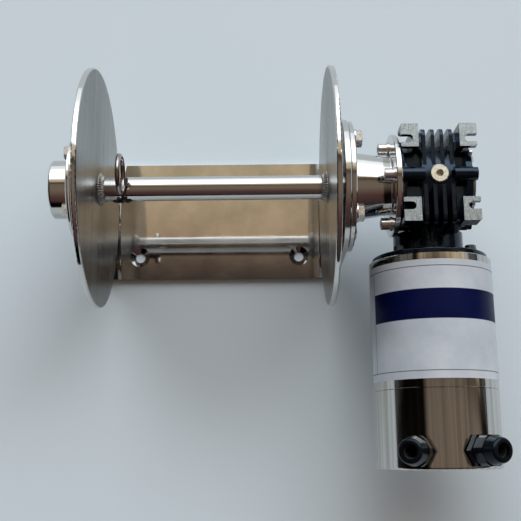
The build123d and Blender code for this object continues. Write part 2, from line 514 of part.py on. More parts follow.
with BuildPart() as gearbox_housing:
    with BuildSketch(across(GEAR_X - HUB_OUT)):
        Circle(BARREL_R)
    extrude(amount=HUB_OUT + COVER_X)
    with BuildSketch(across(GEAR_X - GEAR_HALF)):
        Circle(PILOT_R)
    extrude(amount=GEAR_HALF)
    # side walls and the fins between them
    for wall_x in (-BLOCK_OUT, BLOCK_IN):
        with BuildSketch(across(GEAR_X + wall_x)):
            with Locations((0, CASE_MID)):
                RectangleRounded(2 * CASE_Y - 3, CASE_HIGH, WALL_ROUND)
        extrude(amount=BLOCK_OUT - BLOCK_IN)
    for fin in range(FIN_COUNT):
        with BuildSketch(across(GEAR_X + (fin - (FIN_COUNT - 1) / 2) * FIN_PITCH - FIN_T / 2)):
            with Locations((0, CASE_MID)):
                RectangleRounded(2 * CASE_Y, CASE_HIGH, FIN_ROUND)
        extrude(amount=FIN_T)
    with BuildSketch(along(TUNNEL_Y0)):
        Circle(TUNNEL_R)
    extrude(amount=TUNNEL_Y0 - TUNNEL_Y1)
    with BuildSketch(along(TUNNEL_Y1 + 6)):
        Circle(TUNNEL_R + 8.5)
    extrude(amount=6)
    # screw bosses on the pitch circle of the side faces
    for boss_x, boss_l in ((-GEAR_HALF, GEAR_HALF - BLOCK_IN + 1), (BLOCK_IN - 1, COVER_X - BLOCK_IN + 1)):
        with BuildSketch(across(GEAR_X + boss_x)):
            with Locations(*GEAR_SPOTS):
                Circle(BOSS_R)
        extrude(amount=boss_l)
    # round-ended scoops beside the upper boss
    for side, end in foot_corners():
        with BuildSketch(Plane.XY.offset(SHAFT_Z + POCKET_FLOOR)):
            with Locations((GEAR_X + side * POCKET_X, end * (BOSS_R + FOOT_Y0 - 0.8) / 2)):
                SlotOverall(FOOT_Y0 - BOSS_R + 5, 2 * POCKET_R, rotation=90)
        extrude(amount=20, mode=Mode.SUBTRACT)
    # the upper boss stands across the scoops
    for boss_x, boss_l in ((-GEAR_HALF, GEAR_HALF - BLOCK_IN + 1), (BLOCK_IN - 1, COVER_X - BLOCK_IN + 1)):
        with BuildSketch(across(GEAR_X + boss_x)):
            with Locations((0, GEAR_SCREW_PCD / 2)):
                Circle(BOSS_R)
        extrude(amount=boss_l)
    # feet: slotted plates on webs, each with a skirt at its outer end
    for side, end in foot_corners():
        foot_x, foot_y = GEAR_X + side * (FOOT_X0 + FOOT_X1) / 2, end * (FOOT_Y0 + FOOT_Y1) / 2
        with BuildSketch(Plane.XY.offset(FEET_Z)):
            with Locations((foot_x, foot_y)):
                RectangleRounded(FOOT_X1 - FOOT_X0, FOOT_Y1 - FOOT_Y0, FOOT_ROUND)
        extrude(amount=-FOOT_T)
        with BuildSketch(Plane.XY.offset(FEET_Z)):
            with Locations((foot_x, end * (FOOT_Y1 - SKIRT_T / 2))):
                RectangleRounded(FOOT_X1 - FOOT_X0, SKIRT_T, FOOT_ROUND)
        extrude(amount=-SKIRT_DROP)
        with BuildSketch(Plane.XY.offset(FEET_Z)):
            with Locations((GEAR_X + side * (FOOT_X0 + BLOCK_OUT) / 2, foot_y)):
                Rectangle(BLOCK_OUT - FOOT_X0, FOOT_Y1 - FOOT_Y0)
        extrude(amount=-WEB_DROP)
        with BuildSketch(Plane.XY.offset(FEET_Z)):
            with Locations((GEAR_X + side * SLOT_X, end * SLOT_Y)):
                Circle(SLOT_W / 2)
                with Locations((side * SLOT_W, 0)):
                    Rectangle(2 * SLOT_W, SLOT_W)
        extrude(amount=-FOOT_T, mode=Mode.SUBTRACT)
    with BuildSketch(Plane.XY.offset(SHAFT_Z)):
        with Locations((GEAR_X, 0)):
            Circle(PLUG_BOSS_R)
    extrude(amount=CASE_TOP)
    # bores for the wheel, its bearings, the worm and its bearings
    with BuildSketch(across(GEAR_X - GEAR_HALF)):
        Circle(WHEEL_BEARING_R)
    extrude(amount=GEAR_HALF, mode=Mode.SUBTRACT)
    with BuildSketch(across(GEAR_X - WHEEL_BEARING_X + 0.5)):
        Circle(COVER_BORE)
    extrude(amount=GEAR_HALF + WHEEL_BEARING_X, mode=Mode.SUBTRACT)
    with BuildSketch(along(TUNNEL_Y0)):
        Circle(WORM_BEARING_R)
    extrude(amount=TUNNEL_Y0 - WORM_BEARING_Y, mode=Mode.SUBTRACT)
    with BuildSketch(along(-WORM_BEARING_Y)):
        Circle(WORM_BEARING_R)
    extrude(amount=-TUNNEL_Y1 - WORM_BEARING_Y, mode=Mode.SUBTRACT)
    with BuildSketch(along(WORM_BEARING_Y)):
        Circle(11.5)
    extrude(amount=2 * WORM_BEARING_Y, mode=Mode.SUBTRACT)
    for face_x in (-GEAR_HALF, COVER_X - 12):
        with BuildSketch(across(GEAR_X + face_x)):
            with Locations(*GEAR_SPOTS):
                Circle(GEAR_SCREW_R)
        extrude(amount=12, mode=Mode.SUBTRACT)
    with BuildSketch(Plane.XY.offset(SHAFT_Z + CASE_TOP)):
        with Locations((GEAR_X, 0)):
            Circle(PLUG_R + 0.4)
    extrude(amount=PLUG_HEAD, mode=Mode.SUBTRACT)
    with BuildSketch(Plane.XY.offset(SHAFT_Z + CASE_TOP)):
        with Locations((GEAR_X, 0)):
            Circle(PLUG_THREAD_R)
    extrude(amount=-12, mode=Mode.SUBTRACT)
    with BuildSketch(along(CASE_Y + 1)):
        Circle(WORM_BEARING_R + 2)
    extrude(amount=CASE_Y + 1 - TUNNEL_Y0, mode=Mode.SUBTRACT)
    with BuildSketch(across(GEAR_X + COVER_X)):
        with Locations(*COVER_SPOTS):
            Circle(COVER_SCREW_R)
    extrude(amount=-COVER_SCREW_BITE - 1, mode=Mode.SUBTRACT)
save(gearbox_housing.part, "gearbox_housing")

with BuildPart() as gearbox_side_cover:
    with BuildSketch(across(GEAR_X + COVER_X)):
        Circle(BARREL_R + 1)
        with Locations(*GEAR_SPOTS):
            Circle(BOSS_R)
    extrude(amount=HUB_OUT - COVER_X)
    with BuildSketch(across(GEAR_X + HUB_OUT)):
        Circle(PILOT_R)
        with Locations(*GEAR_SPOTS):
            Circle(BOSS_R - 0.6)
    extrude(amount=GEAR_HALF - HUB_OUT)
    with BuildSketch(across(GEAR_X + WHEEL_BEARING_X)):
        Circle(COVER_BORE - 0.02)
    extrude(amount=COVER_X - WHEEL_BEARING_X)
    with BuildSketch(across(GEAR_X)):
        Circle(WHEEL_BEARING_R)
    extrude(amount=GEAR_HALF, mode=Mode.SUBTRACT)
    with BuildSketch(across(GEAR_X + COVER_X)):
        with Locations(*GEAR_SPOTS):
            Circle(GEAR_SCREW_R)
        with Locations(*COVER_SPOTS):
            Circle(COVER_SCREW_R)
    extrude(amount=GEAR_HALF - COVER_X, mode=Mode.SUBTRACT)
save(gearbox_side_cover.part, "gearbox_side_cover")
save(cap_screws(across(GEAR_X + HUB_OUT), COVER_SPOTS, COVER_SCREW_R, M3_CAP_R, M3_CAP, M3_SOCKET,
                HUB_OUT - COVER_X + COVER_SCREW_BITE), "side_cover_screws")

with BuildPart() as oil_plug:
    with BuildSketch(Plane.XY.offset(SHAFT_Z + CASE_TOP)):
        with Locations((GEAR_X, 0)):
            Circle(PLUG_R)
    extrude(amount=PLUG_HEAD)
    chamfer(oil_plug.edges().sort_by(Axis.Z)[-1], 0.7)
    with BuildSketch(Plane.XY.offset(SHAFT_Z + CASE_TOP)):
        with Locations((GEAR_X, 0)):
            Circle(PLUG_THREAD_R)
    extrude(amount=-5.0)
    with BuildSketch(Plane.XY.offset(SHAFT_Z + CASE_TOP + PLUG_HEAD)):
        with Locations((GEAR_X, 0)):
            RegularPolygon(2.9, 6, major_radius=False)
    extrude(amount=-5.5, mode=Mode.SUBTRACT)
save(oil_plug.part, "oil_plug")

with BuildPart() as worm_end_cap:
    with BuildSketch(along(TUNNEL_Y0 + 0.8)):
        Circle(WORM_BEARING_R + 1.2)
    extrude(amount=0.8)
    with BuildSketch(along(TUNNEL_Y0)):
        Circle(WORM_BEARING_R)
        Circle(WORM_BEARING_R - 2, mode=Mode.SUBTRACT)
    extrude(amount=TUNNEL_Y0 - WORM_BEARING_Y - WORM_BEARING_W)
save(worm_end_cap.part, "worm_end_cap")

# ---- wheel bearings and seals ----
wheel_sets = [bearing(start, HUB_R, WHEEL_BEARING_R, BEARING_W, WHEEL_BALL_R, WHEEL_BALLS)
              for start in (across(GEAR_X + WHEEL_BEARING_X), back_across(GEAR_X - WHEEL_BEARING_X))]
save_group([wheel_set[0] for wheel_set in wheel_sets], "wheel_bearing_outer_rings")
save_group([wheel_set[1] for wheel_set in wheel_sets], "wheel_bearing_inner_rings")
save_group([*left_balls, *right_balls, *wheel_sets[0][2], *wheel_sets[1][2]], "drum_bearing_balls")
SEAL_X = WHEEL_BEARING_X + BEARING_W + 0.3
wheel_seals = [seal(across(GEAR_X + SEAL_X), HUB_R, WHEEL_BEARING_R, 3.6),
               seal(back_across(GEAR_X - SEAL_X), HUB_R, WHEEL_BEARING_R, 3.6)]

# ---- worm ----
WORM_ROOT_R = WORM_R - 1.2 * MODULE
THREAD_HALF = 13.0
WORM_END_Y, WORM_BORE_R, WORM_BORE_Y = -44.0, 4.5, -18.0
WORM_SHAFT_R = 7.5
DRIVE_KEY_W, DRIVE_KEY_H, DRIVE_KEY_L = 3.0, 2.6, 18.0
with BuildPart() as worm_thread:
    with BuildLine() as thread_path:
        thread_helix = Helix(pitch=LEAD, height=2 * THREAD_HALF, radius=WORM_R,
                             center=(GEAR_X, -THREAD_HALF, WORM_Z), direction=(0, 1, 0))
    thread_start = thread_helix @ 0
    outward = Vector(thread_start.X - GEAR_X, 0, thread_start.Z - WORM_Z).normalized()
    half_tip = pi * MODULE / 4 - MODULE * FLANK
    half_root = pi * MODULE / 4 + 1.35 * MODULE * FLANK
    with BuildSketch(Plane(origin=thread_start, x_dir=outward, z_dir=outward.cross(Vector(0, 1, 0)))):
        Polygon((MODULE, half_tip), (-1.35 * MODULE, half_root), (-1.35 * MODULE, -half_root),
                (MODULE, -half_tip), align=None)
    sweep(path=thread_helix, is_frenet=True)
start_angle = atan2(outward.X, outward.Z)
thread_phase = -degrees(start_angle + 2 * pi * THREAD_HALF / LEAD)
with BuildPart() as worm:
    with BuildSketch(along(THREAD_HALF + 4)):
        Circle(WORM_ROOT_R)
    extrude(amount=2 * (THREAD_HALF + 4))
    with BuildSketch(along(WORM_BEARING_Y + WORM_BEARING_W)):
        Circle(WORM_SHAFT_R)
    extrude(amount=WORM_BEARING_Y + WORM_BEARING_W - THREAD_HALF - 4)
    with BuildSketch(along(-THREAD_HALF - 4)):
        Circle(WORM_SHAFT_R)
    extrude(amount=-WORM_END_Y - THREAD_HALF - 4)
    add(worm_thread.part.rotate(Axis((GEAR_X, 0, WORM_Z), (0, 1, 0)), thread_phase))
    with BuildSketch(along(WORM_BORE_Y)):
        Circle(WORM_BORE_R)
        with Locations((0, WORM_BORE_R)):
            Rectangle(DRIVE_KEY_W, DRIVE_KEY_H)
    extrude(amount=WORM_BORE_Y - WORM_END_Y, mode=Mode.SUBTRACT)
save(worm.part, "worm")

worm_sets = [bearing(along(y), WORM_SHAFT_R, WORM_BEARING_R, WORM_BEARING_W, WORM_BALL_R, WORM_BALLS)
             for y in (WORM_BEARING_Y + WORM_BEARING_W, -WORM_BEARING_Y)]
worm_seal = seal(along(-WORM_BEARING_Y - WORM_BEARING_W - 1), WORM_SHAFT_R, WORM_BEARING_R, 5.0)
save_group([*wheel_seals, worm_seal], "gearbox_seals")

# ---- motor flange ----
NECK_R, FLANGE_R, FLANGE_BOLT_PCD, FLANGE_BOLT_R = 29.5, 48.5, 83.0, 2.5
FLANGE_SPOTS = round_spots(FLANGE_BOLT_PCD, DIAGONALS)
FRONT_T = 9.0
with BuildPart() as motor_flange:
    with BuildSketch(along(TUNNEL_Y1)):
        Circle(NECK_R)
    extrude(amount=TUNNEL_Y1 - FLANGE_Y)
    with BuildSketch(along(FLANGE_Y)):
        Circle(FLANGE_R)
    extrude(amount=FLANGE_T)
    fillet(motor_flange.edges().filter_by(GeomType.CIRCLE).filter_by(
        lambda e: abs(e.radius - FLANGE_R) < 0.1).sort_by(Axis.Y)[-1], 1.5)
    fillet(motor_flange.edges().filter_by(GeomType.CIRCLE).filter_by(
        lambda e: abs(e.radius - NECK_R) < 0.1).sort_by(Axis.Y)[0], 1.2)
    with BuildSketch(along(TUNNEL_Y1)):
        Circle(14.0)
    extrude(amount=TUNNEL_Y1 - FLANGE_Y + FLANGE_T, mode=Mode.SUBTRACT)
    with BuildSketch(along(FLANGE_Y)):
        with Locations(*FLANGE_SPOTS):
            Circle(FLANGE_BOLT_R + 0.25)
    extrude(amount=FLANGE_T, mode=Mode.SUBTRACT)
save(motor_flange.part, "motor_flange")


def against(y):
    """Plane square to the motor axis at y that faces the gearbox."""
    return Plane(origin=(GEAR_X, y, WORM_Z), x_dir=(-1, 0, 0), z_dir=(0, 1, 0))


save_group([washers(against(FLANGE_Y), FLANGE_SPOTS, M5_WASHER_R, M5_HOLE_R, M5_WASHER_T),
            hex_bolts(against(FLANGE_Y + M5_WASHER_T), FLANGE_SPOTS, FLANGE_BOLT_R, M5_FLATS, M5_HEAD,
                      M5_WASHER_T + FLANGE_T + FRONT_T)], "motor_flange_bolts")

# ---- motor casing ----
SEAM_Y, SHELL_BORE = -169.0, MOTOR_R - CAN_T
MOTOR_BEARING_R, MOTOR_BEARING_W = 16.0, 9.0
with BuildPart() as motor_front_plate:
    with BuildSketch(along(CAN_Y0)):
        Circle(SHELL_BORE)
        Circle(10.5, mode=Mode.SUBTRACT)
        with Locations(*FLANGE_SPOTS):
            Circle(FLANGE_BOLT_R, mode=Mode.SUBTRACT)
    extrude(amount=FRONT_T)
    with BuildSketch(along(CAN_Y0 - FRONT_T)):
        Circle(MOTOR_BEARING_R + 4)
        Circle(MOTOR_BEARING_R, mode=Mode.SUBTRACT)
    extrude(amount=MOTOR_BEARING_W)
save(motor_front_plate.part, "motor_front_plate")

with BuildPart() as motor_shell:
    with BuildSketch(along(CAN_Y0)):
        Circle(MOTOR_R)
        Circle(SHELL_BORE, mode=Mode.SUBTRACT)
    extrude(amount=CAN_Y0 - SEAM_Y)
    chamfer(motor_shell.edges().filter_by(GeomType.CIRCLE).filter_by(
        lambda e: abs(e.radius - MOTOR_R) < 0.1), 0.5)
save(motor_shell.part, "motor_shell")


def gland_axis(side):
    """Plane at the motor axis whose normal is the gland's axis, square to the casing."""
    lean = radians(side * GLAND_ANGLE)
    return Plane(origin=(GEAR_X, GLAND_Y, WORM_Z), x_dir=(0, 1, 0), z_dir=(sin(lean), 0, cos(lean)))


GLAND_THREAD_R = 9.8
with BuildPart() as motor_rear_cover:
    with BuildSketch(along(SEAM_Y)):
        Circle(MOTOR_R)
    extrude(amount=SEAM_Y - CAN_Y1)
    fillet(motor_rear_cover.edges().filter_by(GeomType.CIRCLE).sort_by(Axis.Y)[0], 2.5)
    chamfer(motor_rear_cover.edges().filter_by(GeomType.CIRCLE).sort_by(Axis.Y)[-1], 0.5)
    with BuildSketch(along(SEAM_Y)):
        Circle(SHELL_BORE)
    extrude(amount=SEAM_Y - CAN_Y1 - 2.0, mode=Mode.SUBTRACT)
    for side in (-1, 1):
        with BuildSketch(gland_axis(side).offset(MOTOR_R - 6)):
            Circle(GLAND_THREAD_R)
        extrude(amount=12, mode=Mode.SUBTRACT)
save(motor_rear_cover.part, "motor_rear_cover")

LABEL_ARC, LABEL_START = 300.0, -86.0
with BuildPart() as motor_label:
    with BuildSketch(along(LABEL_Y0)):
        Circle(MOTOR_R + LABEL_T)
        Circle(MOTOR_R, mode=Mode.SUBTRACT)
        with BuildLine():
            gap_ends = [radians(90 - LABEL_START), radians(90 - LABEL_START - LABEL_ARC)]
            far = 2 * MOTOR_R
            Polyline((0, 0), (far * cos(gap_ends[0]), far * sin(gap_ends[0])),
                     (far * cos((gap_ends[0] + gap_ends[1]) / 2 + pi),
                      far * sin((gap_ends[0] + gap_ends[1]) / 2 + pi)),
                     (far * cos(gap_ends[1]), far * sin(gap_ends[1])), close=True)
        make_face(mode=Mode.SUBTRACT)
    extrude(amount=LABEL_Y0 - LABEL_Y1)
save(motor_label.part, "motor_label")

# ---- cable glands ----
GLAND_SEAT = MOTOR_R + 0.6
GLAND_AF, GLAND_HEX_H, GLAND_NECK_R, GLAND_BORE, GLAND_TAIL = 24.0, 5.0, 9.0, 6.2, 12.0
NUT_START, NUT_R, NUT_H, NUT_SKIRT, NUT_MOUTH = 6.0, 11.6, 20.5, 10.0, 5.8
LOCKNUT_R, LOCKNUT_OUT, LOCKNUT_T = 11.0, 40.5, 5.0
gland_bodies, gland_seals, gland_nuts, gland_locknuts = [], [], [], []
for side in (-1, 1):
    seat = gland_axis(side).offset(GLAND_SEAT)
    with BuildPart() as gland_body:
        with BuildSketch(seat):
            RegularPolygon(GLAND_AF / 2, 6, major_radius=False, rotation=30)
        extrude(amount=GLAND_HEX_H)
        with BuildSketch(seat.offset(GLAND_HEX_H)):
            Circle(GLAND_NECK_R)
        extrude(amount=7.0)
        with BuildSketch(seat.offset(-GLAND_TAIL)):
            Circle(GLAND_THREAD_R - RUN)
        extrude(amount=GLAND_TAIL)
        with BuildSketch(seat.offset(-GLAND_TAIL)):
            Circle(GLAND_BORE)
        extrude(amount=GLAND_TAIL + NUT_H, mode=Mode.SUBTRACT)
    gland_bodies.append(gland_body.part)
    with BuildPart() as gland_nut:
        with BuildSketch(seat.offset(NUT_START)):
            RegularPolygon(NUT_R, 6, major_radius=False, rotation=30)
        extrude(amount=NUT_SKIRT)
        with BuildSketch(seat.offset(NUT_START)):
            Circle(NUT_R + 0.75)
        extrude(amount=NUT_SKIRT, mode=Mode.INTERSECT)
        with BuildSketch(seat.offset(NUT_START + NUT_SKIRT)):
            Circle(NUT_R - 0.1)
        extrude(amount=NUT_H - NUT_SKIRT, taper=12)
        fillet(gland_nut.faces().sort_by(Axis(seat.origin, seat.z_dir))[-1].edges(), 2.5)
        with BuildSketch(seat.offset(NUT_START)):
            Circle(GLAND_NECK_R + 0.1)
        extrude(amount=16.5, mode=Mode.SUBTRACT)
        with BuildSketch(seat.offset(NUT_START)):
            Circle(NUT_MOUTH)
        extrude(amount=NUT_H + 1, mode=Mode.SUBTRACT)
    gland_nuts.append(gland_nut.part)
    gland_seals.append(ring(seat.offset(GLAND_HEX_H + 7.1), GLAND_NECK_R, CABLE_R, 10.3))
    with BuildPart() as gland_locknut:
        with BuildSketch(gland_axis(side).offset(LOCKNUT_OUT)):
            RegularPolygon(LOCKNUT_R, 6, major_radius=False, rotation=30)
            Circle(GLAND_THREAD_R, mode=Mode.SUBTRACT)
        extrude(amount=LOCKNUT_T)
    gland_locknuts.append(gland_locknut.part)
save_group(gland_bodies, "gland_bodies")
save_group(gland_nuts, "gland_nuts")
save_group(gland_seals, "gland_seals")
save_group(gland_locknuts, "gland_locknuts")

# ---- motor internals ----
YOKE_Y0, YOKE_Y1, YOKE_R, YOKE_BORE = CAN_Y0 - FRONT_T, -163.0, 50.0, 46.5
REAR_Y, REAR_DROP = YOKE_Y1, 24.0
save(ring(along(YOKE_Y0), YOKE_R, YOKE_BORE, YOKE_Y0 - YOKE_Y1), "motor_yoke")

MAGNET_IN, MAGNET_ARC, MAGNET_L = 39.0, 130.0, 66.0
MAGNET_GAP = YOKE_R * tan(radians(90 - MAGNET_ARC / 2))
with BuildPart() as field_magnets:
    with BuildSketch(along(YOKE_Y0 - 14)):
        Circle(YOKE_BORE)
        Circle(MAGNET_IN, mode=Mode.SUBTRACT)
        for end in (-1, 1):
            Polygon((0, 0), (-MAGNET_GAP, end * YOKE_R), (MAGNET_GAP, end * YOKE_R), align=None,
                    mode=Mode.SUBTRACT)
    extrude(amount=MAGNET_L)
save(field_magnets.part, "field_magnets")

with BuildPart() as motor_rear_plate:
    with BuildSketch(along(REAR_Y)):
        Circle(YOKE_R)
        Circle(18.0, mode=Mode.SUBTRACT)
    extrude(amount=4.0)
    with BuildSketch(along(REAR_Y - 4.0)):
        Circle(YOKE_R)
        Circle(YOKE_R - 3.5, mode=Mode.SUBTRACT)
    extrude(amount=20.0)
    with BuildSketch(along(REAR_Y - REAR_DROP)):
        Circle(YOKE_R)
        Circle(MOTOR_BEARING_R, mode=Mode.SUBTRACT)
    extrude(amount=3.0)
    with BuildSketch(along(REAR_Y - REAR_DROP)):
        Circle(MOTOR_BEARING_R + 3)
        Circle(MOTOR_BEARING_R, mode=Mode.SUBTRACT)
    extrude(amount=MOTOR_BEARING_W)
save(motor_rear_plate.part, "motor_rear_plate")

COMM_R, COMM_Y0, COMM_L = 14.0, -168.5, 15.0
NOSE_R, SHAFT_R = WORM_BORE_R, 7.5
with BuildPart() as armature_shaft:
    with BuildSketch(along(WORM_BORE_Y - 1)):
        Circle(NOSE_R)
    extrude(amount=WORM_BORE_Y - 1 - CAN_Y0)
    with BuildSketch(along(CAN_Y0)):
        Circle(SHAFT_R)
    extrude(amount=CAN_Y0 - REAR_Y + 34.0)
    with BuildSketch(along(WORM_BORE_Y - 4)):
        with Locations((0, NOSE_R)):
            Rectangle(DRIVE_KEY_W, DRIVE_KEY_H)
    extrude(amount=DRIVE_KEY_L, mode=Mode.SUBTRACT)
save(armature_shaft.part, "armature_shaft")
with BuildPart() as drive_key:
    with BuildSketch(along(WORM_BORE_Y - 4)):
        with Locations((0, NOSE_R)):
            Rectangle(DRIVE_KEY_W, DRIVE_KEY_H)
    extrude(amount=DRIVE_KEY_L)
save(drive_key.part, "drive_key")

CORE_OUT, SLOTS, CORE_Y0, CORE_L, END_TURN = 38.0, 12, -86.0, 60.0, 8.0
SLOT_PITCH_R, WIRE_L, WIRE_W, LINER = 29.0, 14.0, 6.0, 0.5
with BuildPart() as armature_core:
    with BuildSketch(along(CORE_Y0)):
        Circle(CORE_OUT)
        Circle(SHAFT_R, mode=Mode.SUBTRACT)
        with PolarLocations(SLOT_PITCH_R, SLOTS):
            SlotOverall(WIRE_L + 2 * LINER, WIRE_W + 2 * LINER, mode=Mode.SUBTRACT)
        with PolarLocations(37.0, SLOTS):
            Rectangle(6.0, 2.4, mode=Mode.SUBTRACT)
    extrude(amount=CORE_L)
save(armature_core.part, "armature_core")
with BuildPart() as armature_windings:
    with BuildSketch(along(CORE_Y0)):
        with PolarLocations(SLOT_PITCH_R, SLOTS):
            SlotOverall(WIRE_L, WIRE_W)
    extrude(amount=CORE_L)
    for end_y in (CORE_Y0 + END_TURN / 2, CORE_Y0 - CORE_L - END_TURN / 2):
        with BuildSketch(Plane(origin=(GEAR_X, end_y, WORM_Z), x_dir=(1, 0, 0), z_dir=(0, 0, 1))):
            with Locations((SLOT_PITCH_R, 0)):
                RectangleRounded(WIRE_L, END_TURN, 3.0)
        revolve(axis=Axis((GEAR_X, 0, WORM_Z), (0, 1, 0)))
save(armature_windings.part, "armature_windings")

BARS = 24
with BuildPart() as commutator:
    with BuildSketch(along(COMM_Y0)):
        Circle(COMM_R)
        Circle(SHAFT_R, mode=Mode.SUBTRACT)
        with PolarLocations(COMM_R, BARS):
            Rectangle(2.0, 0.6, mode=Mode.SUBTRACT)
    extrude(amount=COMM_L)
save(commutator.part, "commutator")

BRUSH_W, BRUSH_H, BRUSH_OUT = 8.0, 9.0, 30.0
brush_plane = along(COMM_Y0 - COMM_L / 2 + BRUSH_H / 2)
with BuildPart() as brushes:
    with BuildSketch(brush_plane):
        with Locations(((COMM_R + BRUSH_OUT) / 2, 0), (-(COMM_R + BRUSH_OUT) / 2, 0)):
            Rectangle(BRUSH_OUT - COMM_R, BRUSH_W)
        Circle(COMM_R + 0.15, mode=Mode.SUBTRACT)
    extrude(amount=BRUSH_H)
save(brushes.part, "brushes")
with BuildPart() as brush_holders:
    with BuildSketch(brush_plane.offset(-1.5)):
        with Locations((31.0, 0), (-31.0, 0)):
            Rectangle(26.0, BRUSH_W + 4)
    extrude(amount=BRUSH_H + 3)
    with BuildSketch(brush_plane):
        with Locations((28.0, 0), (-28.0, 0)):
            Rectangle(28.0, BRUSH_W)
    extrude(amount=BRUSH_H, mode=Mode.SUBTRACT)
save(brush_holders.part, "brush_holders")
SPRING_R, SPRING_BORE, SPRING_L = 3.5, 2.6, 11.5
spring_seats = [Plane(origin=(GEAR_X + side * BRUSH_OUT, COMM_Y0 - COMM_L / 2, WORM_Z), z_dir=(side, 0, 0))
                for side in (-1, 1)]
save_group([ring(seat, SPRING_R, SPRING_BORE, SPRING_L) for seat in spring_seats], "brush_springs")

motor_sets = [bearing(along(y), SHAFT_R, MOTOR_BEARING_R, MOTOR_BEARING_W, WORM_BALL_R, WORM_BALLS)
              for y in (CAN_Y0 - FRONT_T, REAR_Y - REAR_DROP)]
rotor_sets = worm_sets + motor_sets
save_group([one_set[0] for one_set in rotor_sets], "rotor_bearing_outer_rings")
save_group([one_set[1] for one_set in rotor_sets], "rotor_bearing_inner_rings")
save_group([piece for one_set in rotor_sets for piece in one_set[2]], "rotor_bearing_balls")
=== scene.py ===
import json
import math

import bmesh
import bpy
from mathutils import Matrix, Vector, noise


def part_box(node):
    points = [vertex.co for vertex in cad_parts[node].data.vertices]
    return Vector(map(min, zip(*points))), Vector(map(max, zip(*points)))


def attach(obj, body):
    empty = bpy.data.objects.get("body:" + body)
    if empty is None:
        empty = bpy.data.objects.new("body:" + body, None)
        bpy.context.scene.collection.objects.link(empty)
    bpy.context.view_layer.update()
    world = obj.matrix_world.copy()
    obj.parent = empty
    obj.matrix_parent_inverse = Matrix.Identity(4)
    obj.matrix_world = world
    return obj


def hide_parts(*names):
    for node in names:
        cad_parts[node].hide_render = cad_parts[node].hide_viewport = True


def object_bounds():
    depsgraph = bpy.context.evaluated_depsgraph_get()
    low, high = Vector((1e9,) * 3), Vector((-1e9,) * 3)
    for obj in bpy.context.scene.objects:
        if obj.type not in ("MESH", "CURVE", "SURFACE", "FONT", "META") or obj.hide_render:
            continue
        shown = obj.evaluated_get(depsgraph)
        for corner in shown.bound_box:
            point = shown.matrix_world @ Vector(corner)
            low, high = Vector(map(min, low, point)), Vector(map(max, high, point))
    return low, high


# Looks for an anchor windlass: polished and satin stainless steel, a black painted worm gearbox,
# and a stainless motor with a printed wrap. Metres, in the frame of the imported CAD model.

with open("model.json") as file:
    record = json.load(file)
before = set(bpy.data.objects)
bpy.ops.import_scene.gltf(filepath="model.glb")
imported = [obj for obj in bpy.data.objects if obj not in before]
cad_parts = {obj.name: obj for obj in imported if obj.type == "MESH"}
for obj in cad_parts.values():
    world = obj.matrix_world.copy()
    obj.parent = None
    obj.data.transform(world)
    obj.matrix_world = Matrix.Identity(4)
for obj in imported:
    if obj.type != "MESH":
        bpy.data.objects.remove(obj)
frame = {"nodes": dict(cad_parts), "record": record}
cad_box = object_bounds()
nodes = frame["nodes"]
scene = bpy.context.scene


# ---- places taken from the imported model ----
def middle(node):
    """Centre of a node's box."""
    low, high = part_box(node)
    return (low + high) / 2


MM = 0.001
DRUM_AXIS = middle("drum_disc_left")
DISC_R = (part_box("drum_disc_left")[1].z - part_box("drum_disc_left")[0].z) / 2
CORE_R = (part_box("drum_shaft")[1].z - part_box("drum_shaft")[0].z) / 2
EYE = middle("rope_eye")
MOTOR_AXIS = middle("motor_shell")
FEET_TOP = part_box("gearbox_housing")[1].z
LEFT_PILOT_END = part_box("gearbox_housing")[0].x
RIGHT_PILOT_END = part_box("gearbox_side_cover")[1].x
LABEL_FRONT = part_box("motor_label")[1].y
LABEL_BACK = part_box("motor_label")[0].y
LABEL_SPAN = LABEL_FRONT - LABEL_BACK


# ---- node helpers ----
class Shading:
    """A node tree, built by short calls."""

    def __init__(self, tree):
        self.tree = tree

    def node(self, kind, **settings):
        made = self.tree.nodes.new("ShaderNode" + kind)
        for key, value in settings.items():
            setattr(made, key, value)
        return made

    def feed(self, value, socket):
        """Links a socket, or sets a plain value."""
        if isinstance(value, bpy.types.NodeSocket):
            self.tree.links.new(value, socket)
        else:
            socket.default_value = value

    def maths(self, operation, first, second=0.0):
        made = self.node("Math", operation=operation)
        self.feed(first, made.inputs[0])
        self.feed(second, made.inputs[1])
        return made.outputs[0]

    def parts(self, vector):
        made = self.node("SeparateXYZ")
        self.feed(vector, made.inputs[0])
        return made.outputs

    def joined(self, x, y, z):
        made = self.node("CombineXYZ")
        for value, socket in zip((x, y, z), made.inputs):
            self.feed(value, socket)
        return made.outputs[0]

    def stretched(self, vector, scale):
        made = self.node("Mapping")
        self.feed(vector, made.inputs["Vector"])
        made.inputs["Scale"].default_value = scale
        return made.outputs[0]

    def noise(self, vector, scale, detail):
        made = self.node("TexNoise")
        self.feed(vector, made.inputs["Vector"])
        made.inputs["Scale"].default_value = scale
        made.inputs["Detail"].default_value = detail
        made.inputs["Roughness"].default_value = 0.55
        return made.outputs["Fac"]

    def spread(self, value, low, high, out_low=0.0, out_high=1.0):
        """Maps low to high onto another range, and holds the value at its ends."""
        made = self.node("MapRange")
        for given, socket in zip((value, low, high, out_low, out_high), made.inputs):
            self.feed(given, socket)
        return made.outputs[0]

    def mixed(self, share, first, second):
        """Mixes two colours."""
        made = self.node("Mix", data_type="RGBA")
        self.feed(share, made.inputs[0])
        self.feed(first, made.inputs[6])
        self.feed(second, made.inputs[7])
        return made.outputs[2]

    def blended(self, share, first, second):
        """Mixes two plain values."""
        made = self.node("Mix", data_type="FLOAT")
        self.feed(share, made.inputs[0])
        self.feed(first, made.inputs[2])
        self.feed(second, made.inputs[3])
        return made.outputs[0]


